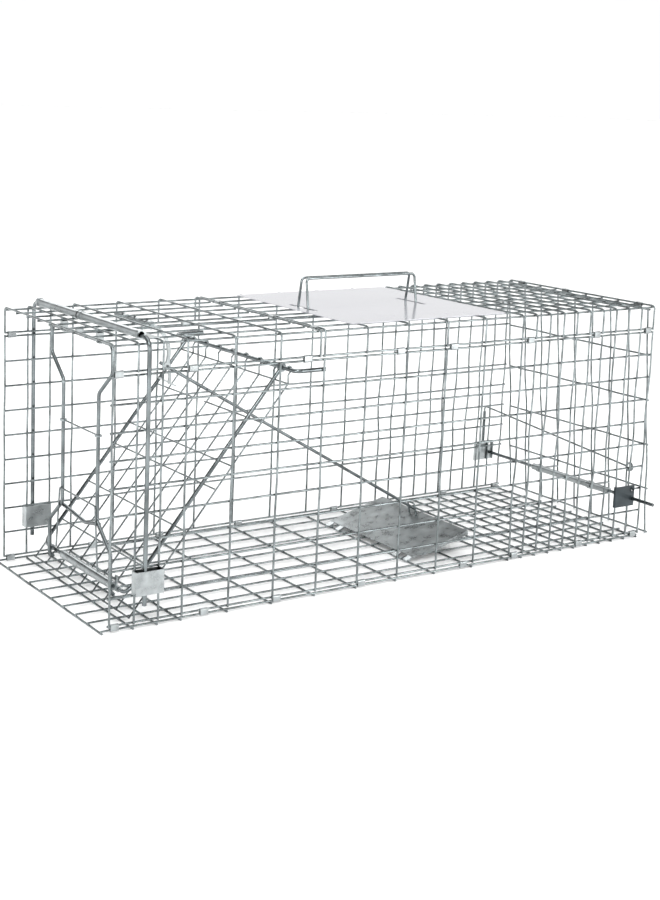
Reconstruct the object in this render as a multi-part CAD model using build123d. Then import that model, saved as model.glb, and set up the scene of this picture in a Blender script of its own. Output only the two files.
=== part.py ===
"""Folding live catch trap: a welded wire cage with a drop door, a lock bail and a treadle trip."""

from build123d import *

import os
from math import cos, radians, sin

os.makedirs("parts", exist_ok=True)

# Cage, measured from the door end (x = 0) to the rear, with the near side at -y.
HALF_WIDTH = 138.0
FRONT_PITCH = 30.0
MIDDLE_PITCH = 60.0
REAR_PITCH = 23.0
FRONT_CELLS = 3
MIDDLE_CELLS = 8
REAR_CELLS = 10
CROSS_CELLS = 9
SIDE_ROWS = 9
ROW_PITCH = 30.4
WIRE = 2.5
EDGE_GAP = 4.4
TOP_RISE = 30.35
EAR_BEND = 5.0
FLOOR_LIP = 9.0
TOP_SPLIT = 264.0
TOP_SPLIT_GAP = 6.0

CAGE_LENGTH = FRONT_CELLS * FRONT_PITCH + MIDDLE_CELLS * MIDDLE_PITCH + REAR_CELLS * REAR_PITCH
FLOOR_CROSS_Z = WIRE / 2
FLOOR_Z = FLOOR_CROSS_Z + WIRE
SIDE_BOTTOM_Z = FLOOR_Z + EDGE_GAP
SIDE_TOP_Z = SIDE_BOTTOM_Z + SIDE_ROWS * ROW_PITCH
EAR_Z = SIDE_TOP_Z + EDGE_GAP
TOP_Z = EAR_Z + TOP_RISE
TOP_LONG_Z = TOP_Z - WIRE
OUTER_Y = HALF_WIDTH + WIRE
TOP_EDGE_Y = OUTER_Y - EAR_BEND

# Hinge clips crimped round pairs of edge wires.
CLIP_LENGTH = 10.0
CLIP_WALL = 0.7
CLIP_CLEARANCE = 0.1
TOP_CLIP_X = [8.0, 98.0, 248.0, 381.0, 462.0, 586.0, 700.0, 792.5]
FLOOR_CLIP_X = [7.5, 120.0, 217.0, 338.0, 496.0, 580.5, 693.0, 792.5]
JOINT_CLIP_Y = [86.0, -37.0, -125.0]
REAR_CLIP_Y = [113.5, 24.0, -113.5]

# Prop frame at the door end, and the sheet sleeves and brackets that hold it.
PROP_ROD = 5.0
PROP_X = 40.0
PROP_FOOT_Z = 28.0
PROP_BEND = 12.0
PROP_SLEEVE_OD = 9.4
PROP_SLEEVE_ID = 7.4
PROP_COLLAR_OD = 11.0
PROP_COLLAR_LENGTH = 5.0
PROP_SLEEVES_Y = [(-127.0, 18.0), (20.5, 130.0)]
SLEEVE_TAIL = 0.9
SHEET = 1.2
FOLD_GAP = 0.15
LEG_BRACKET_Z = (40.6, 67.2)

TOP_FACE_Z = TOP_Z + WIRE / 2
PROP_SLEEVE_Z = TOP_FACE_Z + PROP_SLEEVE_OD / 2
PROP_Z = PROP_SLEEVE_Z - PROP_SLEEVE_ID / 2 + PROP_ROD / 2
SIDE_FACE_Y = OUTER_Y + WIRE / 2
PROP_Y = SIDE_FACE_Y + PROP_ROD / 2 + 1.5

# Door: a wire mesh hung on a pivot rod, with a rod frame and a roller on its outer face.
RUNNING_GAP = 0.06
DOOR_WIRE = 2.0
DOOR_ANGLE = 51.0
PIVOT_X = 234.0
PIVOT_Z = 270.0
PIVOT_ROD = 5.0
PIVOT_BEND = 7.0
DOOR_OFFSET = -8.0
DOOR_HALF_WIDTH = 122.0
DOOR_CELLS = 8
DOOR_ROWS = [14.0, 68.0, 128.0, 160.0, 217.0, 274.0, 330.0]
TRIP_GAP_ROW = 68.0
ARM_ROD = 4.5
ARM_Y = 107.0
ARM_BEND = 12.0
EYE_WALL = 2.6
ROLLER_S = 310.0
ROLLER_OD = 10.0
ROLLER_Y = (-75.5, 53.5)
KEEPER_Y = 86.0
KEEPER_HEIGHT = 14.0

# Lock bail, hung from the top and standing in front of the door's lower end.
BAIL_ROD = 4.5
BAIL_X = 32.5
BAIL_Z = 303.5
BAIL_TOP_Y = 77.0
BAIL_WAIST_Y = 45.0
BAIL_FOOT_Y = 79.0
BAIL_BEND = 9.0
BAIL_WIRE = 2.0
HANGER_WIDTH = 7.0

# Trigger: a sprung catch on a shaft, a long trip rod and a treadle on the floor.
SHAFT_X = 124.0
SHAFT_ROD = 5.0
SHAFT_TUBE_OD = 9.0
SHAFT_TUBE_Y = (13.5, 88.0)
SHAFT_Z = TOP_LONG_Z - WIRE / 2 - SHAFT_TUBE_OD / 2
CATCH_Y = 5.0
CATCH_WIDTH = 3.5
LINK_X = 147.0
LINK_Z = 258.0
LINK_PIN = 3.0
TRIP_ROD = 4.0
TRIP_Y = CATCH_Y + (CATCH_WIDTH + TRIP_ROD) / 2 + 0.3
TRIP_END = (536.0, 34.5)
STAPLE_S = 80.0
STAPLE_HEIGHT = 18.0
TREADLE_X = 450.0
TREADLE_START = 6.0
TREADLE_LENGTH = 91.0
TREADLE_HALF_WIDTH = 90.0
TREADLE_SLOPE = 14.6
TREADLE_FRONT_Z = 6.1
TREADLE_TAB_Y = [-84.0, -62.0, 62.0, 84.0]

# Guard plate and carrying handle.
GUARD_X = (316.0, 554.0)
GUARD_HALF_WIDTH = 127.0
GUARD_SHEET = 0.8
GUARD_SLOT = (60.0, 6.0)
HANDLE_WIRE = 3.2
HANDLE_X = (335.0, 503.0)
HANDLE_TOP_Z = 355.0
HANDLE_FOOT_Y = 11.5
HANDLE_TOP_Y = 5.0
HANDLE_BEND = 5.0
HANDLE_FOOT_Z = TOP_Z - WIRE / 2 - 0.3 - HANDLE_WIRE / 2

# Rear panel and its sliding bolt.
REAR_TOP = (794.5, 311.0)
REAR_FOOT = (822.0, 3.5)
REAR_HALF_WIDTH = 134.4
REAR_CROSS = 5
REAR_UPRIGHTS = 8
BOLT_ROD = 4.5
BOLT_WIRE = 2.5
BOLT_X = 781.7
BOLT_Z = 58.0
BOLT_NEAR_Y = -181.0
BOLT_FAR_Y = 157.0
BOLT_UPPER = ((781.7, 125.0), (789.5, 97.0))
BOLT_UPPER_NEAR_Y = -128.0
BOLT_TUBE_OD = 9.0
BOLT_TUBE_Y = (-102.0, 46.0)
REAR_PLATE_Z = (48.0, 76.0)
EYELET_RISE = 12.0


def wire(start, end, diameter=WIRE):
    """A straight wire with square-cut ends."""
    first = Vector(*start)
    along = Vector(*end) - first
    return Solid.make_cylinder(diameter / 2, along.length, Plane(first, z_dir=along))


def along_path(path, diameter):
    """A round rod along a path, one length for each straight and each bend."""
    lengths = []
    for run in path.edges():
        face = Plane(run @ 0, z_dir=run % 0) * Circle(diameter / 2)
        lengths.append(sweep(face, path=run))
    return lengths


def bent_rod(points, diameter, bend, closed=False):
    """A rod bent to one radius at every corner of its run."""
    return along_path(FilletPolyline(*points, radius=bend, close=closed), diameter)


def across(x, y, z):
    """A plane that faces along y, for drawing rings and tubes round a cross rod."""
    return Plane((x, y, z), x_dir=(1, 0, 0), z_dir=(0, 1, 0))


def tube(x, z, low_y, high_y, outside, inside):
    """A tube that lies across the cage."""
    ring = Circle(outside / 2) - Circle(inside / 2)
    return extrude(across(x, low_y, z) * ring, high_y - low_y)


def oval_clip(middle, axis, spread, spacing):
    """A sheet sleeve crimped round two parallel wires that lie a given spacing apart."""
    bore = WIRE + 2 * CLIP_CLEARANCE
    outside = bore + 2 * CLIP_WALL
    start = Vector(*middle) - Vector(*axis) * (CLIP_LENGTH / 2)
    profile = SlotCenterToCenter(spacing, outside) - SlotCenterToCenter(spacing, bore)
    return extrude(Plane(start, x_dir=spread, z_dir=axis) * profile, CLIP_LENGTH)


def save(name, shapes):
    """Write one node, moved so that the origin is under the middle of the cage."""
    solids = [solid for shape in shapes for solid in shape.solids()]
    node = Compound(solids).moved(Location((-CAGE_LENGTH / 2, 0, 0)))
    export_step(node, f"parts/{name}.step")


def evenly(low, high, cells):
    """Evenly spaced places from low to high."""
    return [low + (high - low) * i / cells for i in range(cells + 1)]


def cross_wire_places():
    """The x places of the wires that run across the cage."""
    front = evenly(0.0, FRONT_PITCH * FRONT_CELLS, FRONT_CELLS)
    middle = evenly(front[-1], front[-1] + MIDDLE_PITCH * MIDDLE_CELLS, MIDDLE_CELLS)
    rear = evenly(middle[-1], CAGE_LENGTH, REAR_CELLS)
    return front + middle[1:] + rear[1:]


def floor_panel():
    """Floor mesh: long wires on top of the cross wires, with a lip beyond the door end."""
    reach = HALF_WIDTH + WIRE / 2
    end = CAGE_LENGTH + WIRE / 2
    places = [WIRE / 2 - FLOOR_LIP] + cross_wire_places()[1:]
    long_wires = [
        wire((-FLOOR_LIP, y, FLOOR_Z), (end, y, FLOOR_Z))
        for y in evenly(-HALF_WIDTH, HALF_WIDTH, CROSS_CELLS)
    ]
    return long_wires + [wire((x, -reach, FLOOR_CROSS_Z), (x, reach, FLOOR_CROSS_Z)) for x in places]


def side_panel(side):
    """Side mesh: long rows inside and uprights outside."""
    half = WIRE / 2
    y = side * HALF_WIDTH
    outer = side * OUTER_Y
    rows = [
        wire((-half, y, z), (CAGE_LENGTH + half, y, z))
        for z in evenly(SIDE_BOTTOM_Z, SIDE_TOP_Z, SIDE_ROWS)
    ]
    uprights = [
        wire((x, outer, SIDE_BOTTOM_Z - half), (x, outer, SIDE_TOP_Z + half))
        for x in cross_wire_places()
    ]
    return rows + uprights


def top_panel(start, end, places):
    """Top mesh whose cross wires turn down into an ear along each side."""
    half = WIRE / 2
    straight = TOP_EDGE_Y - 1.0
    shapes = []
    for y in evenly(-TOP_EDGE_Y, TOP_EDGE_Y, CROSS_CELLS):
        shapes.append(wire((start - half, y, TOP_LONG_Z), (end + half, y, TOP_LONG_Z)))
    for side in (-1, 1):
        y = side * HALF_WIDTH
        shapes.append(wire((start - half, y, EAR_Z), (end + half, y, EAR_Z)))
    for x in places:
        shapes.append(wire((x, -straight, TOP_Z), (x, straight, TOP_Z)))
        for side in (-1, 1):
            corner = [
                (x, side * straight, TOP_Z),
                (x, side * OUTER_Y, TOP_Z),
                (x, side * OUTER_Y, EAR_Z - half),
            ]
            path = FilletPolyline(*corner, radius=EAR_BEND)
            shapes.append(sweep(Plane(path @ 0, z_dir=path % 0) * Circle(half), path=path))
    return shapes


def top_front_panel():
    """Top mesh from the door end to the split."""
    places = [x for x in cross_wire_places() if x < TOP_SPLIT] + [TOP_SPLIT]
    return top_panel(0.0, TOP_SPLIT, places)


def top_rear_panel():
    """Top mesh from the split to the rear end."""
    start = TOP_SPLIT + TOP_SPLIT_GAP
    return top_panel(start, CAGE_LENGTH, [x for x in cross_wire_places() if x >= start])


def side_clips(places, side, low_z):
    """Clips that hinge a side panel's edge wire to its neighbour's."""
    middle_z = low_z + EDGE_GAP / 2
    return [
        oval_clip((x, side * HALF_WIDTH, middle_z), (1, 0, 0), (0, 0, 1), EDGE_GAP) for x in places
    ]


def top_joint_clips():
    """Clips that join the two top panels across their split."""
    middle_x = TOP_SPLIT + TOP_SPLIT_GAP / 2
    return [
        oval_clip((middle_x, y, TOP_Z), (0, 1, 0), (1, 0, 0), TOP_SPLIT_GAP) for y in JOINT_CLIP_Y
    ]


def prop_frame():
    """U-shaped rod that holds the door end square."""
    points = [
        (PROP_X, -PROP_Y, PROP_FOOT_Z),
        (PROP_X, -PROP_Y, PROP_Z),
        (PROP_X, PROP_Y, PROP_Z),
        (PROP_X, PROP_Y, PROP_FOOT_Z),
    ]
    return bent_rod(points, PROP_ROD, PROP_BEND)


def prop_sleeve(low_y, high_y):
    """Rolled sheet sleeve over the prop frame's bar, with a tail hooked behind a top wire."""
    catch_x = 2 * FRONT_PITCH + WIRE / 2
    middle_y = (low_y + high_y) / 2
    length = high_y - low_y
    roll = extrude(across(PROP_X, low_y, PROP_SLEEVE_Z) * Circle(PROP_SLEEVE_OD / 2), length)
    tail_x = (PROP_X + catch_x + SLEEVE_TAIL) / 2
    tail = Pos(tail_x, middle_y, TOP_FACE_Z + SLEEVE_TAIL / 2) * Box(
        catch_x + SLEEVE_TAIL - PROP_X, length, SLEEVE_TAIL
    )
    lip = Pos(catch_x + SLEEVE_TAIL / 2, middle_y, TOP_FACE_Z - 0.6) * Box(SLEEVE_TAIL, length, 3.0)
    shape = roll + tail + lip
    for y in (low_y, high_y - PROP_COLLAR_LENGTH):
        collar = across(PROP_X, y, PROP_SLEEVE_Z) * Circle(PROP_COLLAR_OD / 2)
        shape += extrude(collar, PROP_COLLAR_LENGTH)
    return shape - extrude(across(PROP_X, low_y, PROP_SLEEVE_Z) * Circle(PROP_SLEEVE_ID / 2), length)


def channel(low_x, high_x, low_z, high_z, depth, side):
    """Sheet folded into a channel that hugs two uprights from outside."""
    inner = SIDE_FACE_Y - WIRE
    outside = Pos((low_x + high_x) / 2, inner + depth / 2, (low_z + high_z) / 2) * Box(
        high_x - low_x, depth, high_z - low_z
    )
    outer_edges = outside.edges().filter_by(Axis.Z).sort_by(Axis.Y)[-2:]
    rounded = fillet(outer_edges, SHEET * 1.2)
    hollow = Pos((low_x + high_x) / 2, inner + (depth - SHEET) / 2, (low_z + high_z) / 2) * Box(
        high_x - low_x - 2 * SHEET, depth - SHEET, high_z - low_z
    )
    shape = rounded - hollow
    return shape if side > 0 else mirror(shape, Plane.XZ)


def leg_bracket(side):
    """Sheet sleeve closed round two uprights, with the prop frame's leg standing inside it."""
    margin = WIRE / 2 + FOLD_GAP + SHEET
    width = FRONT_PITCH + 2 * margin
    inner = SIDE_FACE_Y - WIRE - FOLD_GAP - SHEET
    outer = PROP_Y + PROP_ROD / 2 + FOLD_GAP + SHEET
    low_z, high_z = LEG_BRACKET_Z
    outline = fillet(Rectangle(width, outer - inner).vertices(), SHEET * 1.2)
    profile = outline - Rectangle(width - 2 * SHEET, outer - inner - 2 * SHEET)
    return Pos(1.5 * FRONT_PITCH, side * (inner + outer) / 2, low_z) * extrude(profile, high_z - low_z)


def door_point(s, offset=0.0, y=0.0):
    """A place s down the closed door and offset out of its plane."""
    angle = radians(DOOR_ANGLE)
    x = PIVOT_X - s * cos(angle) - offset * sin(angle)
    z = PIVOT_Z - s * sin(angle) + offset * cos(angle)
    return x, y, z


def door_pivot_rod():
    """Rod across the cage, its ends turned back along the sides and welded to two uprights."""
    y = SIDE_FACE_Y - WIRE - PIVOT_ROD / 2
    end = FRONT_PITCH * FRONT_CELLS + MIDDLE_PITCH * 3 + 4.0
    points = [(end, -y, PIVOT_Z), (PIVOT_X, -y, PIVOT_Z), (PIVOT_X, y, PIVOT_Z), (end, y, PIVOT_Z)]
    return bent_rod(points, PIVOT_ROD, PIVOT_BEND)


def door_mesh():
    """Door mesh with one cell left open for the trip rod."""
    cell = 2 * DOOR_HALF_WIDTH / DOOR_CELLS
    reach = DOOR_HALF_WIDTH + DOOR_WIRE / 2
    half = DOOR_WIRE / 2
    under = DOOR_OFFSET - DOOR_WIRE
    shapes = []
    for y in evenly(-DOOR_HALF_WIDTH, DOOR_HALF_WIDTH, DOOR_CELLS):
        shapes.append(wire(door_point(16.0, under, y), door_point(331.0, under, y), DOOR_WIRE))
    for s in DOOR_ROWS:
        spans = [(-reach, reach)]
        if s == TRIP_GAP_ROW:
            spans = [(-reach, half), (cell - half, reach)]
        for low, high in spans:
            start = door_point(s, DOOR_OFFSET, low)
            shapes.append(wire(start, door_point(s, DOOR_OFFSET, high), DOOR_WIRE))
    return shapes


def door_hooks():
    """Upper ends of the door's long wires, curled over the pivot rod."""
    under = DOOR_OFFSET - DOOR_WIRE
    ring = PIVOT_ROD / 2 + RUNNING_GAP + DOOR_WIRE / 2
    slant = ring * sin(radians(45))
    shapes = []
    for y in evenly(-DOOR_HALF_WIDTH, DOOR_HALF_WIDTH, DOOR_CELLS):
        lead = [(16.0, under), (13.0, under), (5.5, -ring), (0.0, -ring)]
        shapes += bent_rod([door_point(s, n, y) for s, n in lead], DOOR_WIRE, 3.0)
        curl = [(0.0, -ring), (-slant, -slant), (-ring, 0.0), (-slant, slant), (0.0, ring)]
        for first in (0, 2):
            arc = ThreePointArc(*[door_point(s, n, y) for s, n in curl[first : first + 3]])
            shapes += along_path(arc, DOOR_WIRE)
    return shapes


def lock_frame():
    """Rod frame on the door: an eye and an arm at each side and the roller's cross rod."""
    bore = PIVOT_ROD / 2 + RUNNING_GAP
    eye = 2 * (bore + EYE_WALL)
    foot = [door_point(bore + EYE_WALL, 0.0, -ARM_Y), door_point(ROLLER_S, 0.0, -ARM_Y)]
    head = [door_point(ROLLER_S, 0.0, ARM_Y), door_point(bore + EYE_WALL, 0.0, ARM_Y)]
    shapes = bent_rod(foot + head, ARM_ROD, ARM_BEND)
    for side in (-1, 1):
        low = side * ARM_Y - ARM_ROD / 2
        disc = extrude(across(PIVOT_X, low, PIVOT_Z) * Circle(eye / 2), ARM_ROD)
        shapes = [shape - disc for shape in shapes]
        shapes.append(tube(PIVOT_X, PIVOT_Z, low, low + ARM_ROD, eye, 2 * bore))
    return shapes


def keeper_tabs():
    """Small collars with a tab on the cross rod, outside the lock bail's legs."""
    x, _, z = door_point(ROLLER_S)
    shapes = []
    for side in (-1, 1):
        low = side * KEEPER_Y - 2.0
        collar = extrude(across(x, low, z) * Circle(ARM_ROD / 2 + 1.4), 4.0)
        tab = Pos(x - 2.2, side * KEEPER_Y, z + 2.0 + KEEPER_HEIGHT / 2) * Box(1.6, 4.0, KEEPER_HEIGHT)
        bore = extrude(across(x, low, z) * Circle(ARM_ROD / 2), 4.0)
        shapes.append(collar + tab - bore)
    return shapes


def roller_tube():
    """Loose tube that rolls on the cross rod."""
    x, _, z = door_point(ROLLER_S)
    return tube(x, z, *ROLLER_Y, ROLLER_OD, ARM_ROD + 2 * RUNNING_GAP)


def lock_bail():
    """Bent rod bail: wide at the top, narrow at the waist, with short toes at its feet."""
    near = [
        (BAIL_X + 5.0, -BAIL_FOOT_Y, 20.0),
        (BAIL_X, -BAIL_FOOT_Y, 25.0),
        (BAIL_X, -BAIL_FOOT_Y, 68.0),
        (BAIL_X, -BAIL_WAIST_Y, 97.0),
        (BAIL_X, -BAIL_WAIST_Y, 244.0),
        (BAIL_X, -BAIL_TOP_Y, 271.0),
        (BAIL_X, -BAIL_TOP_Y, BAIL_Z),
    ]
    far = [(x, -y, z) for x, y, z in reversed(near)]
    return bent_rod(near + far, BAIL_ROD, BAIL_BEND)


def bail_cross_wire():
    """Thin wire across the bail's waist with a loop round each leg."""
    z = 196.0
    loop = BAIL_ROD + 2 * BAIL_WIRE
    reach = BAIL_WAIST_Y - loop / 2
    shapes = [wire((BAIL_X, -reach, z), (BAIL_X, reach, z), BAIL_WIRE)]
    for side in (-1, 1):
        ring = Circle(loop / 2) - Circle(BAIL_ROD / 2)
        shapes.append(extrude(Pos(BAIL_X, side * BAIL_WAIST_Y, z - 1.0) * ring, BAIL_WIRE))
    return shapes


def bail_release_wire():
    """Thin U-shaped wire welded on the front of the bail's waist."""
    x = BAIL_X - (BAIL_ROD + BAIL_WIRE) / 2
    points = [(x, -54.0, 40.0), (x, -46.0, 115.0), (x, 46.0, 115.0), (x, 54.0, 40.0)]
    return bent_rod(points, BAIL_WIRE, 4.0)


def bail_thumb_rod():
    """Short rod welded behind the bail's far leg, for lifting the bail by hand."""
    x = BAIL_X + BAIL_ROD
    points = [(x, 52.0, 91.5), (x, -6.0, 85.0), (x, -42.0, 92.0)]
    return bent_rod(points, BAIL_ROD, 14.0)


def bail_hangers():
    """Sheet loops under the top wires that carry the bail's top bar."""
    bore = BAIL_ROD / 2 + RUNNING_GAP
    roof = TOP_LONG_Z - WIRE / 2
    width = 2 * (bore + SHEET)
    shapes = []
    for side in (-1, 1):
        middle_y = side * 3 * TOP_EDGE_Y / CROSS_CELLS
        low = middle_y - HANGER_WIDTH / 2
        loop = extrude(across(BAIL_X, low, BAIL_Z) * Circle(bore + SHEET), HANGER_WIDTH)
        neck = Pos(BAIL_X, middle_y, (BAIL_Z + roof) / 2) * Box(width, HANGER_WIDTH, roof - BAIL_Z)
        hole = extrude(across(BAIL_X, low, BAIL_Z) * Circle(bore), HANGER_WIDTH)
        shapes.append(loop + neck - hole)
    return shapes


def trigger_tube():
    """Tube welded under the top wires that carries the catch's shaft."""
    return tube(SHAFT_X, SHAFT_Z, *SHAFT_TUBE_Y, SHAFT_TUBE_OD, SHAFT_ROD + 2 * RUNNING_GAP)


def catch_shaft():
    """Shaft that turns in the trigger tube."""
    start = CATCH_Y - CATCH_WIDTH / 2 - 1.5
    return wire((SHAFT_X, start, SHAFT_Z), (SHAFT_X, SHAFT_TUBE_Y[1] + 4.0, SHAFT_Z), SHAFT_ROD)


def catch_spring():
    """Close-wound spring on the shaft between the catch and the tube."""
    first = CATCH_Y + CATCH_WIDTH / 2 + 0.9
    coil = SHAFT_ROD / 2 + 0.75
    return [
        Pos(SHAFT_X, first + 1.3 * turn, SHAFT_Z) * Rot(90, 0, 0) * Torus(coil, 0.65)
        for turn in range(5)
    ]


def trigger_catch():
    """Curved lever fixed on the shaft, with an eye for the trip rod's pin."""
    low = CATCH_Y - CATCH_WIDTH / 2
    start = (SHAFT_X + 4.0, CATCH_Y, SHAFT_Z - 1.0)
    bow = (SHAFT_X + 22.0, CATCH_Y, SHAFT_Z - 20.0)
    arc = ThreePointArc(start, bow, (LINK_X - 0.5, CATCH_Y, LINK_Z + 2.0))
    section = Plane(arc @ 0, x_dir=(0, 1, 0), z_dir=arc % 0) * Rectangle(CATCH_WIDTH, 4.0)
    lever = sweep(section, path=arc)
    hub = extrude(across(SHAFT_X, low, SHAFT_Z) * Circle(SHAFT_ROD / 2 + 3.0), CATCH_WIDTH)
    eye = extrude(across(LINK_X, low, LINK_Z) * Circle(LINK_PIN / 2 + 3.0), CATCH_WIDTH)
    shaft_hole = extrude(across(SHAFT_X, low, SHAFT_Z) * Circle(SHAFT_ROD / 2), CATCH_WIDTH)
    pin_hole = extrude(across(LINK_X, low, LINK_Z) * Circle(LINK_PIN / 2 + RUNNING_GAP), CATCH_WIDTH)
    return hub + lever + eye - shaft_hole - pin_hole


def trip_point(x, y=TRIP_Y, drop=0.0):
    """A place on the trip rod's line, or a given drop below it."""
    slope = (TRIP_END[1] - LINK_Z) / (TRIP_END[0] - LINK_X)
    return x, y, LINK_Z + slope * (x - LINK_X) - drop


def trip_rod():
    """Long rod from the catch to the treadle, with a pin at its front end."""
    rod = wire(trip_point(LINK_X - 7.0), trip_point(TRIP_END[0]), TRIP_ROD)
    pin = wire((LINK_X, CATCH_Y - CATCH_WIDTH / 2 - 1.5, LINK_Z), (LINK_X, TRIP_Y, LINK_Z), LINK_PIN)
    return [rod, pin - rod]


def catch_plate():
    """Flat strip under the trip rod's front end, on a short stem."""
    slope = 27.0
    plate = Pos(*trip_point(149.0, drop=18.0)) * Rot(0, slope, 0) * Box(26.0, 8.0, 1.6)
    stem = Pos(*trip_point(153.0, drop=9.5)) * Box(4.0, 1.6, 19.0)
    return [(plate + stem) - wire(trip_point(120.0), trip_point(200.0), TRIP_ROD)]


def treadle_frame():
    """The treadle's own frame: x up its slope, z square out of its sheet."""
    return Pos(TREADLE_X + TREADLE_START, 0, TREADLE_FRONT_Z) * Rot(0, -TREADLE_SLOPE, 0)


def treadle_plate():
    """Sheet treadle with narrow flanges turned down at its sides and rear."""
    sheet = Pos(TREADLE_LENGTH / 2, 0, SHEET / 2) * Box(TREADLE_LENGTH, 2 * TREADLE_HALF_WIDTH, SHEET)
    rear = Pos(TREADLE_LENGTH - SHEET / 2, 0, -1.5) * Box(SHEET, 2 * TREADLE_HALF_WIDTH, 5.0)
    shape = sheet + rear
    for side in (-1, 1):
        side_y = side * (TREADLE_HALF_WIDTH - SHEET / 2)
        shape += Pos(TREADLE_LENGTH / 2 + 9.0, side_y, -1.5) * Box(TREADLE_LENGTH - 18.0, SHEET, 5.0)
    return treadle_frame() * shape


def treadle_tabs():
    """Tabs on the treadle's front edge that sit astride a floor wire."""
    low_z = FLOOR_CROSS_Z + 0.1
    profile = [
        (TREADLE_X - 2.6, low_z),
        (TREADLE_X - 2.6, FLOOR_CROSS_Z + 2.2),
        (TREADLE_X + 5.4, TREADLE_FRONT_Z + 0.9),
        (TREADLE_X + 5.4, TREADLE_FRONT_Z - 0.9),
        (TREADLE_X + 2.6, FLOOR_CROSS_Z + 2.2),
        (TREADLE_X + 2.6, low_z),
    ]
    saddle = Pos(TREADLE_X, FLOOR_CROSS_Z) * Circle(WIRE / 2 + RUNNING_GAP)
    face = make_face(Polyline(*profile, close=True)) - saddle
    shapes = []
    for y in TREADLE_TAB_Y:
        plane = Plane((0, y + 4.0, 0), x_dir=(1, 0, 0), z_dir=(0, -1, 0))
        shapes.append(extrude(plane * face, 8.0))
    return shapes


def treadle_staple():
    """Wire staple on the treadle that loosely holds the trip rod's end."""
    points = [
        (STAPLE_S, TRIP_Y - 7.0, SHEET),
        (STAPLE_S, TRIP_Y - 7.0, SHEET + STAPLE_HEIGHT),
        (STAPLE_S, TRIP_Y + 7.0, SHEET + STAPLE_HEIGHT),
        (STAPLE_S, TRIP_Y + 7.0, SHEET),
    ]
    return [treadle_frame() * length for length in bent_rod(points, WIRE, 4.0)]


def guard_plate():
    """Flat sheet lying on the top wires, with a slot for each end of the handle."""
    length = GUARD_X[1] - GUARD_X[0]
    middle = (GUARD_X[0] + GUARD_X[1]) / 2
    z = TOP_FACE_Z + GUARD_SHEET / 2
    plate = Pos(middle, 0, z) * Box(length, 2 * GUARD_HALF_WIDTH, GUARD_SHEET)
    plate = fillet(plate.edges().filter_by(Axis.Z), 4.0)
    for x in HANDLE_X:
        plate -= Pos(x, 0, z) * extrude(Rot(0, 0, 90) * SlotOverall(*GUARD_SLOT), 2.0, both=True)
    return plate


def carry_handle():
    """Two leaning wire loops that drop through the slots when let go."""
    shapes = []
    for side in (-1, 1):
        foot = side * HANDLE_FOOT_Y
        top = side * HANDLE_TOP_Y
        points = [
            (HANDLE_X[0], foot, HANDLE_FOOT_Z),
            (HANDLE_X[0], top, HANDLE_TOP_Z),
            (HANDLE_X[1], top, HANDLE_TOP_Z),
            (HANDLE_X[1], foot, HANDLE_FOOT_Z),
        ]
        shapes += bent_rod(points, HANDLE_WIRE, HANDLE_BEND, closed=True)
    return shapes


def rear_point(share, y, offset=0.0):
    """A place on the rear panel: a share of the way down and an offset behind it."""
    x = REAR_TOP[0] + (REAR_FOOT[0] - REAR_TOP[0]) * share + offset
    return x, y, REAR_TOP[1] + (REAR_FOOT[1] - REAR_TOP[1]) * share


def rear_panel():
    """Rear mesh: uprights inside and cross wires outside, hung from the top's last wire."""
    reach = REAR_HALF_WIDTH + WIRE / 2
    shapes = []
    for y in evenly(-REAR_HALF_WIDTH, REAR_HALF_WIDTH, REAR_UPRIGHTS):
        shapes.append(wire(rear_point(-0.004, y), rear_point(1.004, y)))
    for share in evenly(0.0, 1.0, REAR_CROSS):
        start = rear_point(share, -reach, WIRE)
        shapes.append(wire(start, rear_point(share, reach, WIRE)))
    return shapes


def rear_hinge_clips():
    """Clips that hang the rear panel from the top's last cross wire."""
    low = Vector(*rear_point(0.0, 0.0, WIRE))
    high = Vector(CAGE_LENGTH, 0, TOP_Z)
    spread = high - low
    middle = (low + high) / 2
    return [
        oval_clip((middle.X, y, middle.Z), (0, 1, 0), tuple(spread.normalized()), spread.length)
        for y in REAR_CLIP_Y
    ]


def rear_bolt():
    """Bolt rod across the rear, turned up at its far end."""
    turn_up = BOLT_UPPER[0][1] - 8.0
    points = [
        (BOLT_X, BOLT_NEAR_Y, BOLT_Z),
        (BOLT_X, BOLT_FAR_Y, BOLT_Z),
        (BOLT_X, BOLT_FAR_Y, turn_up),
    ]
    return bent_rod(points, BOLT_ROD, 10.0)


def bolt_return_wire():
    """Thin wire from the bolt's upturned end back across the cage to a finger loop."""
    (far_x, far_z), (near_x, near_z) = BOLT_UPPER
    start = BOLT_UPPER[0][1] - 8.0
    loop = 6.0
    points = [
        (BOLT_X, BOLT_FAR_Y, start),
        (far_x, BOLT_FAR_Y, far_z),
        (near_x, BOLT_UPPER_NEAR_Y + loop, near_z),
    ]
    shapes = bent_rod(points, BOLT_WIRE, 4.0)
    facing = Plane((near_x, BOLT_UPPER_NEAR_Y, near_z), x_dir=(0, 1, 0), z_dir=(1, 0, 0))
    ring = (Circle(loop + 0.2) - Circle(loop - BOLT_WIRE + 0.2)).face()
    shapes.append(extrude(facing * ring, BOLT_WIRE / 2, both=True))
    shapes[-2] = shapes[-2] - extrude(facing * Circle(loop + 0.2), BOLT_WIRE, both=True)
    return shapes


def rear_bolt_tube():
    """Tube round the middle of the bolt."""
    return tube(BOLT_X, BOLT_Z, *BOLT_TUBE_Y, BOLT_TUBE_OD, BOLT_ROD + 2 * RUNNING_GAP)


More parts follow.
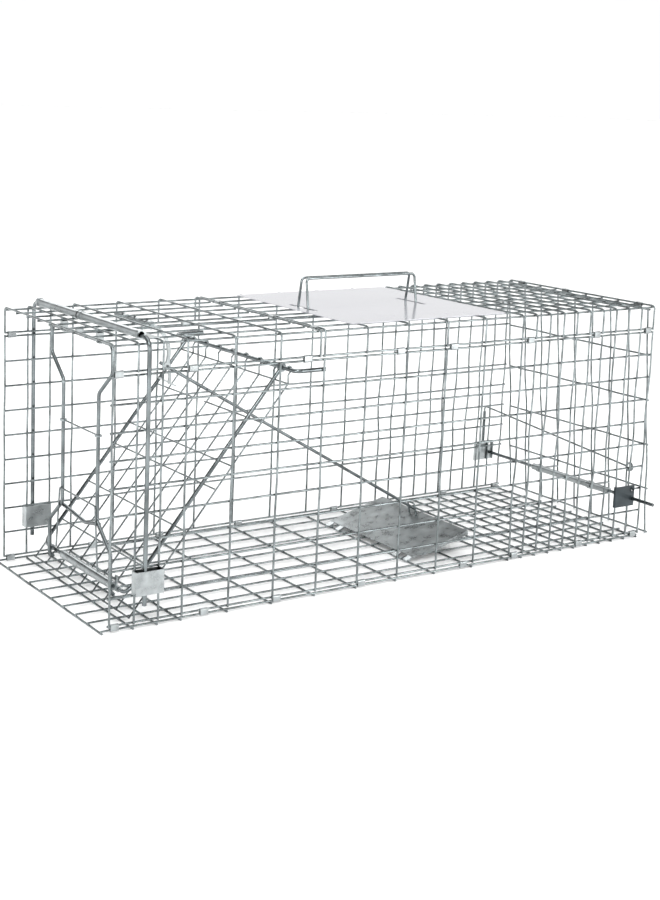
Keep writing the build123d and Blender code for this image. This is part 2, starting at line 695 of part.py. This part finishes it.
def bolt_tube_straps():
    """Sheet straps that tie the bolt's tube to the rear panel's uprights."""
    share = (REAR_TOP[1] - BOLT_Z) / (REAR_TOP[1] - REAR_FOOT[1])
    panel_x = rear_point(share, 0.0)[0]
    width = 6.0
    cell = 2 * REAR_HALF_WIDTH / REAR_UPRIGHTS
    shapes = []
    for y in (-2 * cell, cell):
        low = y - width / 2
        ring = extrude(across(BOLT_X, low, BOLT_Z) * Circle(BOLT_TUBE_OD / 2 + SHEET), width)
        reach = panel_x - WIRE / 2 - 0.1 - BOLT_X
        arm = Pos(BOLT_X + reach / 2, y, BOLT_Z) * Box(reach, width, SHEET)
        hole = extrude(across(BOLT_X, low, BOLT_Z) * Circle(BOLT_TUBE_OD / 2), width)
        shapes.append(ring + arm - hole)
    return shapes


def rear_bracket(side):
    """Channel over two uprights with two eyelets, the lower one round the bolt."""
    first = CAGE_LENGTH - 2 * REAR_PITCH
    low_x = first - WIRE / 2 - FOLD_GAP - SHEET
    high_x = BOLT_X + 5.2
    depth = WIRE + FOLD_GAP + SHEET
    shape = channel(low_x, high_x, *REAR_PLATE_Z, depth, side)
    hole = BOLT_ROD / 2 + 0.1
    face_y = side * (SIDE_FACE_Y + FOLD_GAP)
    for z in (BOLT_Z, BOLT_Z + EYELET_RISE):
        rim = extrude(across(BOLT_X, face_y, z) * Circle(hole + 1.1), side * (SHEET + 1.0))
        shape = shape + rim - extrude(across(BOLT_X, 0, z) * Circle(hole), side * 200.0)
    return shape


save("floor_panel", floor_panel())
save("near_side_panel", side_panel(-1))
save("far_side_panel", side_panel(1))
save("top_front_panel", top_front_panel())
save("top_rear_panel", top_rear_panel())
for label, side in (("near", -1), ("far", 1)):
    save(f"{label}_top_clips", side_clips(TOP_CLIP_X, side, SIDE_TOP_Z))
    save(f"{label}_floor_clips", side_clips(FLOOR_CLIP_X, side, FLOOR_Z))
    save(f"{label}_leg_bracket", [leg_bracket(side)])
    save(f"{label}_rear_bracket", [rear_bracket(side)])
save("top_joint_clips", top_joint_clips())
save("prop_frame", prop_frame())
save("near_prop_sleeve", [prop_sleeve(*PROP_SLEEVES_Y[0])])
save("far_prop_sleeve", [prop_sleeve(*PROP_SLEEVES_Y[1])])
save("door_pivot_rod", door_pivot_rod())
save("door_mesh", door_mesh())
save("door_hooks", door_hooks())
save("lock_frame", lock_frame())
save("keeper_tabs", keeper_tabs())
save("roller_tube", [roller_tube()])
save("lock_bail", lock_bail())
save("bail_cross_wire", bail_cross_wire())
save("bail_release_wire", bail_release_wire())
save("bail_thumb_rod", bail_thumb_rod())
save("bail_hangers", bail_hangers())
save("trigger_tube", [trigger_tube()])
save("catch_shaft", [catch_shaft()])
save("catch_spring", catch_spring())
save("trigger_catch", [trigger_catch()])
save("trip_rod", trip_rod())
save("catch_plate", catch_plate())
save("treadle_plate", [treadle_plate()])
save("treadle_tabs", treadle_tabs())
save("treadle_staple", treadle_staple())
save("guard_plate", [guard_plate()])
save("carry_handle", carry_handle())
save("rear_panel", rear_panel())
save("rear_hinge_clips", rear_hinge_clips())
save("rear_bolt", rear_bolt())
save("bolt_return_wire", bolt_return_wire())
save("rear_bolt_tube", [rear_bolt_tube()])
save("bolt_tube_straps", bolt_tube_straps())
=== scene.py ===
import bpy
import bmesh
from math import cos, pi, radians, sin
from mathutils import Matrix, Vector


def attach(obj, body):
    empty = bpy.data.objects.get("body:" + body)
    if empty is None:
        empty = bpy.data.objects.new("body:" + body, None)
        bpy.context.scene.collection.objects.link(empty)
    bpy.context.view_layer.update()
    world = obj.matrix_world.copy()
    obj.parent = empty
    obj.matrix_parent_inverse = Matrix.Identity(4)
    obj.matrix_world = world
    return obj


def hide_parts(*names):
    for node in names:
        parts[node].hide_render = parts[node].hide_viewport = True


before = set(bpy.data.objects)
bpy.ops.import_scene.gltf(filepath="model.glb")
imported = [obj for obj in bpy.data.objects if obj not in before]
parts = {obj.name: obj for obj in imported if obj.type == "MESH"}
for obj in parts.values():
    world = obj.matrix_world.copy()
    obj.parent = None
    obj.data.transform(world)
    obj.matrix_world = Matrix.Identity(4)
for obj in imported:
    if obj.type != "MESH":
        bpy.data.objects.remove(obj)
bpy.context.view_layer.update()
scene = bpy.context.scene

# Floor panel: welded mesh of drawn wire, hot-dip galvanised after welding.
# Long wires lie on top of the cross wires and are spot-welded where they cross.
MM = 0.001
MIDDLE_X = 400.0
CAGE_LENGTH = 800.0
PANEL_Y = 138.0
WIRE_D = 2.5
LIP = 9.0
FLOOR_CROSS_Z = WIRE_D / 2
FLOOR_LONG_Z = WIRE_D * 1.5
CROSS_X = [0.0, 30.0, 60.0] + [90.0 + 60.0 * i for i in range(8)] + [570.0 + 23.0 * i for i in range(11)]
GALVANISED = (0.195, 0.218, 0.222)


def place(x, y, z):
    """A point given in millimetres from the door end, in the frame's metres."""
    return Vector(((x - MIDDLE_X) * MM, y * MM, z * MM))


def add_wire(bm, points, diameter, sides=10, closed=False):
    """Draws one wire of round section through the given points into bm."""
    radius = diameter * MM / 2
    count = len(points)
    rings = []
    side = None
    for i, point in enumerate(points):
        if closed:
            ahead = (points[(i + 1) % count] - points[i - 1]).normalized()
        else:
            ahead = (points[min(i + 1, count - 1)] - points[max(i - 1, 0)]).normalized()
        if side is None:
            side = ahead.orthogonal().normalized()
        side = (side - ahead * side.dot(ahead)).normalized()
        lift = ahead.cross(side)
        ring = []
        for k in range(sides):
            turn = 2 * pi * k / sides
            ring.append(bm.verts.new(point + side * (cos(turn) * radius) + lift * (sin(turn) * radius)))
        rings.append(ring)
    last = count if closed else count - 1
    for i in range(last):
        low, high = rings[i], rings[(i + 1) % count]
        for k in range(sides):
            bm.faces.new((low[k], low[(k + 1) % sides], high[(k + 1) % sides], high[k]))
    if not closed:
        bm.faces.new(list(reversed(rings[0])))
        bm.faces.new(rings[-1])


def add_weld(bm, point, size=1.35):
    """Adds the small nugget of metal that a spot weld leaves between two wires."""
    spot = bmesh.ops.create_icosphere(bm, subdivisions=2, radius=size * MM)
    for vert in spot["verts"]:
        vert.co = vert.co + point


def rolled(points, bend, steps=5):
    """Rounds each corner of a run of points to the given bend radius, in millimetres."""
    path = [points[0]]
    for before, corner, after in zip(points, points[1:], points[2:]):
        inward = (before - corner).normalized()
        outward = (after - corner).normalized()
        reach = min(bend * MM, (before - corner).length * 0.45, (after - corner).length * 0.45)
        start, end = corner + inward * reach, corner + outward * reach
        for i in range(steps + 1):
            t = i / steps
            path.append(start * (1 - t) ** 2 + corner * (2 * t * (1 - t)) + end * t**2)
    path.append(points[-1])
    return path


def smooth_piece(name, bm, body, stands_for, finish):
    """Makes one piece from bm, shaded smooth, riding on its body in place of CAD nodes."""
    mesh = bpy.data.meshes.new(name)
    bmesh.ops.recalc_face_normals(bm, faces=bm.faces)
    bm.to_mesh(mesh)
    bm.free()
    mesh.polygons.foreach_set("use_smooth", [True] * len(mesh.polygons))
    mesh.set_sharp_from_angle(angle=radians(50))
    piece = bpy.data.objects.new(name, mesh)
    scene.collection.objects.link(piece)
    piece.data.materials.append(finish)
    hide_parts(*stands_for)
    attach(piece, body)
    return piece


def metal_finish(name, colour, rough, spread, scale, metallic=1.0, dent=0.15):
    """A metal with patchy colour, uneven roughness and a fine dented surface."""
    finish = bpy.data.materials.new(name)
    finish.use_nodes = True
    nodes, links = finish.node_tree.nodes, finish.node_tree.links
    shader = nodes["Principled BSDF"]
    shader.inputs["Metallic"].default_value = metallic
    where = nodes.new("ShaderNodeTexCoord")
    patches = nodes.new("ShaderNodeTexNoise")
    patches.inputs["Scale"].default_value = scale
    patches.inputs["Detail"].default_value = 4.0
    tint = nodes.new("ShaderNodeValToRGB")
    tint.color_ramp.elements[0].position = 0.32
    tint.color_ramp.elements[1].position = 0.68
    tint.color_ramp.elements[0].color = tuple(c * (1 - spread) for c in colour) + (1.0,)
    tint.color_ramp.elements[1].color = tuple(min(1.0, c * (1 + spread)) for c in colour) + (1.0,)
    sheen = nodes.new("ShaderNodeMapRange")
    sheen.inputs["To Min"].default_value = max(0.02, rough - 0.08)
    sheen.inputs["To Max"].default_value = rough + 0.10
    grain = nodes.new("ShaderNodeTexNoise")
    grain.inputs["Scale"].default_value = scale * 9
    grain.inputs["Detail"].default_value = 3.0
    bump = nodes.new("ShaderNodeBump")
    bump.inputs["Strength"].default_value = dent
    bump.inputs["Distance"].default_value = 0.0004
    links.new(where.outputs["Object"], patches.inputs["Vector"])
    links.new(where.outputs["Object"], grain.inputs["Vector"])
    links.new(patches.outputs["Fac"], tint.inputs["Fac"])
    links.new(tint.outputs["Color"], shader.inputs["Base Color"])
    links.new(patches.outputs["Fac"], sheen.inputs["Value"])
    links.new(sheen.outputs["Result"], shader.inputs["Roughness"])
    links.new(grain.outputs["Fac"], bump.inputs["Height"])
    links.new(bump.outputs["Normal"], shader.inputs["Normal"])
    return finish


wire_zinc = metal_finish("galvanised_wire", GALVANISED, 0.20, 0.45, 75.0)


def drawn(start, end, sway, sway_axis, phase, steps=14):
    """A wire that was drawn straight but keeps a slight wave along its length."""
    points = []
    for i in range(steps + 1):
        t = i / steps
        wave = sin(pi * t) * (sin(5.1 * t * pi + phase) * 0.6 + sin(2.3 * t * pi + phase * 1.7) * 0.4)
        points.append(start.lerp(end, t) + sway_axis * (wave * sway * MM))
    return points


X_AXIS, Y_AXIS, Z_AXIS = Vector((1, 0, 0)), Vector((0, 1, 0)), Vector((0, 0, 1))
floor_bm = bmesh.new()
floor_ys = [-PANEL_Y + 2 * PANEL_Y * i / 9 for i in range(10)]
for n, y in enumerate(floor_ys):
    ends = place(-LIP, y, FLOOR_LONG_Z), place(CAGE_LENGTH + 1.2, y, FLOOR_LONG_Z)
    add_wire(floor_bm, drawn(*ends, 0.5, Y_AXIS, n), WIRE_D)
floor_reach = PANEL_Y + WIRE_D / 2
for n, x in enumerate([WIRE_D / 2 - LIP] + CROSS_X[1:]):
    ends = place(x, -floor_reach, FLOOR_CROSS_Z), place(x, floor_reach, FLOOR_CROSS_Z)
    add_wire(floor_bm, drawn(*ends, 0.5, X_AXIS, n), WIRE_D)
    for y in floor_ys:
        add_weld(floor_bm, place(x, y, WIRE_D))
smooth_piece("floor_mesh", floor_bm, "cage", ["floor_panel"], wire_zinc)

# Side panels: the same welded mesh, rows of long wire inside and uprights outside.
# The close-set uprights at the rear end have taken a visible wave from handling.
ROWS_Z = [8.15 + 30.4 * i for i in range(10)]
UPRIGHT_Y = PANEL_Y + WIRE_D
SIDE_WELD_Y = PANEL_Y + WIRE_D / 2
UPRIGHT_FOOT, UPRIGHT_HEAD = 6.9, 283.0
for label, side in (("near", -1), ("far", 1)):
    side_bm = bmesh.new()
    for n, z in enumerate(ROWS_Z):
        y = PANEL_Y * side
        ends = place(-WIRE_D / 2, y, z), place(CAGE_LENGTH + WIRE_D / 2, y, z)
        add_wire(side_bm, drawn(*ends, 0.5, Z_AXIS, n + side, 22), WIRE_D)
    for n, x in enumerate(CROSS_X):
        ends = place(x, UPRIGHT_Y * side, UPRIGHT_FOOT), place(x, UPRIGHT_Y * side, UPRIGHT_HEAD)
        sway = 2.2 if x > 560 else 0.7
        add_wire(side_bm, drawn(*ends, sway, X_AXIS, n * 1.3 + side, 18), WIRE_D)
        for z in ROWS_Z:
            add_weld(side_bm, place(x, SIDE_WELD_Y * side, z))
    smooth_piece(f"{label}_side_mesh", side_bm, "cage", [f"{label}_side_panel"], wire_zinc)

# Top panels: two lengths of welded mesh, split behind the door and clipped together.
# Their cross wires turn down at both edges into an ear that reaches the side panels.
TOP_EDGE_Y = 135.5
TOP_LONG_Y = [-TOP_EDGE_Y + 2 * TOP_EDGE_Y * i / 9 for i in range(10)]
TOP_CROSS_Z = 316.5
TOP_LONG_Z = TOP_CROSS_Z - WIRE_D
EAR_Z = 286.15
EAR_END_Z = EAR_Z - WIRE_D / 2
for label, start, end in (("front", 0.0, 264.0), ("rear", 270.0, 800.0)):
    top_bm = bmesh.new()
    places = [x for x in CROSS_X if start <= x <= end]
    if label == "front":
        places.append(end)
    for n, y in enumerate(TOP_LONG_Y):
        ends = place(start - WIRE_D / 2, y, TOP_LONG_Z), place(end + WIRE_D / 2, y, TOP_LONG_Z)
        add_wire(top_bm, drawn(*ends, 0.6, Y_AXIS, n * 0.7, 18), WIRE_D)
    for side in (-1, 1):
        y = PANEL_Y * side
        ends = place(start - WIRE_D / 2, y, EAR_Z), place(end + WIRE_D / 2, y, EAR_Z)
        add_wire(top_bm, drawn(*ends, 0.3, Z_AXIS, side, 18), WIRE_D)
    for n, x in enumerate(places):
        hoop = rolled(
            [
                place(x, -UPRIGHT_Y, EAR_END_Z),
                place(x, -UPRIGHT_Y, TOP_CROSS_Z),
                place(x, UPRIGHT_Y, TOP_CROSS_Z),
                place(x, UPRIGHT_Y, EAR_END_Z),
            ],
            5,
        )
        add_wire(top_bm, hoop, WIRE_D)
        for y in TOP_LONG_Y:
            add_weld(top_bm, place(x, y, TOP_CROSS_Z - WIRE_D / 2))
        for side in (-1, 1):
            add_weld(top_bm, place(x, SIDE_WELD_Y * side, EAR_Z))
    smooth_piece(f"top_{label}_mesh", top_bm, "cage", [f"top_{label}_panel"], wire_zinc)

# Rear panel: a more open grid of the same galvanised wire, welded like the others.
# It hangs by clips from the top's last cross wire and stands out behind the floor at its foot.
REAR_HEAD_X, REAR_HEAD_Z = 794.5, 311.0
REAR_FOOT_X, REAR_FOOT_Z = 822.0, 3.5
REAR_HALF_WIDTH = 134.4
rear_bm = bmesh.new()


def rear_place(share, y, behind=0.0):
    """A point a share of the way down the rear panel."""
    x = REAR_HEAD_X + (REAR_FOOT_X - REAR_HEAD_X) * share + behind
    return place(x, y, REAR_HEAD_Z + (REAR_FOOT_Z - REAR_HEAD_Z) * share)


rear_ys = [-REAR_HALF_WIDTH + 2 * REAR_HALF_WIDTH * i / 8 for i in range(9)]
for n, y in enumerate(rear_ys):
    ends = rear_place(-0.004, y), rear_place(1.004, y)
    add_wire(rear_bm, drawn(*ends, 2.4, Y_AXIS, n * 1.1, 18), WIRE_D)
for n in range(6):
    reach = REAR_HALF_WIDTH + 1.2
    ends = rear_place(n / 5, -reach, WIRE_D), rear_place(n / 5, reach, WIRE_D)
    add_wire(rear_bm, drawn(*ends, 0.8, Z_AXIS, n, 14), WIRE_D)
    for y in rear_ys:
        add_weld(rear_bm, rear_place(n / 5, y, WIRE_D / 2))
smooth_piece("rear_mesh", rear_bm, "cage", ["rear_panel"], wire_zinc)

# Hinge clips: short lengths of bright zinc-coated sheet, crimped round pairs of edge wires.
# They join neighbouring panels, which can still turn on them.
sheet_zinc = metal_finish("zinc_sheet", (0.36, 0.385, 0.39), 0.28, 0.22, 70.0, dent=0.08)


def finish_part(name, finish):
    """Gives a CAD piece its finish, smooth on its curves and crisp on its edges."""
    piece = parts[name]
    piece.data.polygons.foreach_set("use_smooth", [True] * len(piece.data.polygons))
    piece.data.set_sharp_from_angle(angle=radians(35))
    piece.data.materials.clear()
    piece.data.materials.append(finish)


for side in ("near", "far"):
    finish_part(f"{side}_top_clips", sheet_zinc)
    finish_part(f"{side}_floor_clips", sheet_zinc)
for name in ("top_joint_clips", "rear_hinge_clips"):
    finish_part(name, sheet_zinc)

# Prop frame: a bent zinc-plated rod over the door end, its bar in two rolled sheet sleeves
# and its legs in folded sheet brackets on the side panels.
rod_zinc = metal_finish("zinc_rod", (0.165, 0.185, 0.19), 0.16, 0.35, 45.0, dent=0.08)
finish_part("prop_frame", rod_zinc)
for name in ("near_prop_sleeve", "far_prop_sleeve", "near_leg_bracket", "far_leg_bracket"):
    finish_part(name, sheet_zinc)

# Door: light welded mesh of thinner galvanised wire, whose long wires curl over a pivot rod.
# The rod is zinc-plated, and its ends are turned back and welded to the side panels.
finish_part("door_pivot_rod", rod_zinc)
finish_part("door_mesh", wire_zinc)
finish_part("door_hooks", wire_zinc)

# Lock frame: zinc-plated rod lying on the outside of the door, hung from the same pivot rod.
# Two small sheet keepers are pressed on its cross rod, and a loose rolled tube turns between.
finish_part("lock_frame", rod_zinc)
finish_part("keeper_tabs", sheet_zinc)
finish_part("roller_tube", sheet_zinc)

# Lock bail: bent rod hung from two sheet hangers, with a cross wire, a release wire and
# a short rod to lift it by, all welded on.
finish_part("bail_hangers", sheet_zinc)
finish_part("lock_bail", rod_zinc)
finish_part("bail_cross_wire", wire_zinc)
finish_part("bail_release_wire", wire_zinc)
finish_part("bail_thumb_rod", rod_zinc)

# Trigger: a sheet catch fixed on a plated shaft, which turns in a tube welded under the top.
# A close-wound spring of hard wire sits beside it, and a long trip rod runs to the treadle.
finish_part("trigger_tube", sheet_zinc)
finish_part("catch_shaft", rod_zinc)
finish_part("trigger_catch", sheet_zinc)
finish_part("trip_rod", rod_zinc)
finish_part("catch_plate", sheet_zinc)
spring_steel = metal_finish("spring_wire", (0.32, 0.33, 0.34), 0.32, 0.12, 70.0)
spring_bm = bmesh.new()
SHAFT_X, SHAFT_Z = 124.0, 308.25
COIL_START_Y, COIL_LENGTH, COIL_RADIUS = 7.4, 5.5, 3.25
COIL_TURNS, COIL_STEPS = 5, 20
COIL_WIRE = 1.2
coil = []
for i in range(COIL_TURNS * COIL_STEPS + 1):
    turn = 2 * pi * i / COIL_STEPS
    along = COIL_START_Y + COIL_LENGTH * i / (COIL_TURNS * COIL_STEPS)
    coil.append(place(SHAFT_X + COIL_RADIUS * cos(turn), along, SHAFT_Z + COIL_RADIUS * sin(turn)))
add_wire(spring_bm, coil, COIL_WIRE, 8)
smooth_piece("catch_coil", spring_bm, "catch", ["catch_spring"], spring_steel)

# Treadle: a plate of zinc-coated sheet with its edges folded down and tabs that sit on a
# floor wire, so that it rocks. A wire staple welded on it holds the trip rod's end.
finish_part("treadle_plate", sheet_zinc)
finish_part("treadle_tabs", sheet_zinc)
finish_part("treadle_staple", wire_zinc)

# Guard plate: a smooth bright sheet that keeps the hand away from the animal.
# It lies on the top wires and has a slot for each end of the handle.
plate_gloss = metal_finish("bright_plate", (0.485, 0.487, 0.52), 0.14, 0.02, 12.0, metallic=0.4, dent=0.01)
finish_part("guard_plate", plate_gloss)

# Carrying handle: two loops of galvanised wire that lean together at the top.
# Their feet pass through the guard plate's slots, so the handle drops when let go.
finish_part("carry_handle", wire_zinc)

# Rear bolt: a zinc-plated rod that holds the rear panel shut, with a thin wire bent back from
# its end to a finger loop. It slides through sheet brackets folded over uprights on both
# sides, the near one darkened, and through a tube strapped to the rear panel.
dark_sheet = metal_finish("dark_sheet", (0.035, 0.045, 0.05), 0.35, 0.2, 60.0, metallic=0.6)
finish_part("rear_bolt", rod_zinc)
finish_part("bolt_return_wire", wire_zinc)
finish_part("rear_bolt_tube", sheet_zinc)
finish_part("bolt_tube_straps", sheet_zinc)
finish_part("near_rear_bracket", dark_sheet)
finish_part("far_rear_bracket", sheet_zinc)

# Studio: a plain pale floor, five soft lamps and the camera.
# The walls and ceiling glow, and a dim band between them gives the wires their dark stripes.
GROUND_HALF = 30.0
ground_mesh = bpy.data.meshes.new("studio_floor")
ground_bm = bmesh.new()
bmesh.ops.create_grid(ground_bm, x_segments=2, y_segments=2, size=GROUND_HALF)
ground_bm.to_mesh(ground_mesh)
ground_bm.free()
ground = bpy.data.objects.new("studio_floor", ground_mesh)
scene.collection.objects.link(ground)
pale = bpy.data.materials.new("studio_pale")
pale.use_nodes = True
paint = pale.node_tree.nodes["Principled BSDF"].inputs
paint["Base Color"].default_value = (0.93, 0.93, 0.93, 1)
paint["Roughness"].default_value = 0.9
paint["Emission Color"].default_value = (1.0, 1.0, 1.0, 1)
paint["Emission Strength"].default_value = 0.09
ground_mesh.materials.append(pale)

world = bpy.data.worlds.new("studio")
world.use_nodes = True
room_nodes, room_links = world.node_tree.nodes, world.node_tree.links
heading = room_nodes.new("ShaderNodeTexCoord")
split = room_nodes.new("ShaderNodeSeparateXYZ")
bands = room_nodes.new("ShaderNodeValToRGB")
ROOM_BANDS = [(0.0, 0.42), (0.34, 0.42), (0.42, 0.035), (0.76, 0.035), (0.84, 1.0)]
while len(bands.color_ramp.elements) < len(ROOM_BANDS):
    bands.color_ramp.elements.new(0.5)
for stop, (height, glow) in zip(bands.color_ramp.elements, ROOM_BANDS):
    stop.position = height
    stop.color = (glow, glow, glow, 1)
room_links.new(heading.outputs["Generated"], split.inputs["Vector"])
room_links.new(split.outputs["Z"], bands.inputs["Fac"])
room_links.new(bands.outputs["Color"], room_nodes["Background"].inputs["Color"])
room_nodes["Background"].inputs["Strength"].default_value = 2.4
scene.world = world
scene.view_settings.view_transform = "Standard"


def soft_light(name, spot, aim, size, watts):
    """A large square lamp at spot, facing aim."""
    lamp = bpy.data.lights.new(name, "AREA")
    lamp.shape = "SQUARE"
    lamp.size = size
    lamp.energy = watts
    holder = bpy.data.objects.new(name, lamp)
    holder.location = spot
    holder.rotation_euler = (Vector(aim) - Vector(spot)).to_track_quat("-Z", "Y").to_euler()
    scene.collection.objects.link(holder)


soft_light("key", (-1.6, -2.2, 2.6), (0, 0, 0.1), 1.2, 60)
soft_light("fill", (2.4, -1.8, 1.6), (0, 0, 0.15), 1.6, 20)
soft_light("back", (0.4, 2.6, 2.2), (0, 0, 0.2), 1.6, 25)
soft_light("low_left", (-2.4, -1.3, 0.45), (0, 0, 0.15), 0.9, 22)
soft_light("low_right", (1.6, -2.6, 0.45), (0.1, 0, 0.15), 0.9, 22)

lens = bpy.data.cameras.new("camera")
lens.sensor_fit = "VERTICAL"
lens.sensor_height = 36.0
lens.lens = 60.445
lens.shift_x = 0.1076
lens.shift_y = -0.1063
yaw, pitch, roll = radians(32.1653), radians(10.0725), radians(1.7647)
ahead = Vector((sin(yaw) * cos(pitch), cos(yaw) * cos(pitch), -sin(pitch)))
level = Vector((cos(yaw), -sin(yaw), 0))
upward = level.cross(ahead)
right = level * cos(roll) + upward * sin(roll)
top = upward * cos(roll) - level * sin(roll)
camera = bpy.data.objects.new("camera", lens)
camera.matrix_world = Matrix.Translation((-1.11787, -1.51567, 0.58492)) @ Matrix(
    (right, top, -ahead)
).transposed().to_4x4()
scene.collection.objects.link(camera)
scene.camera = camera
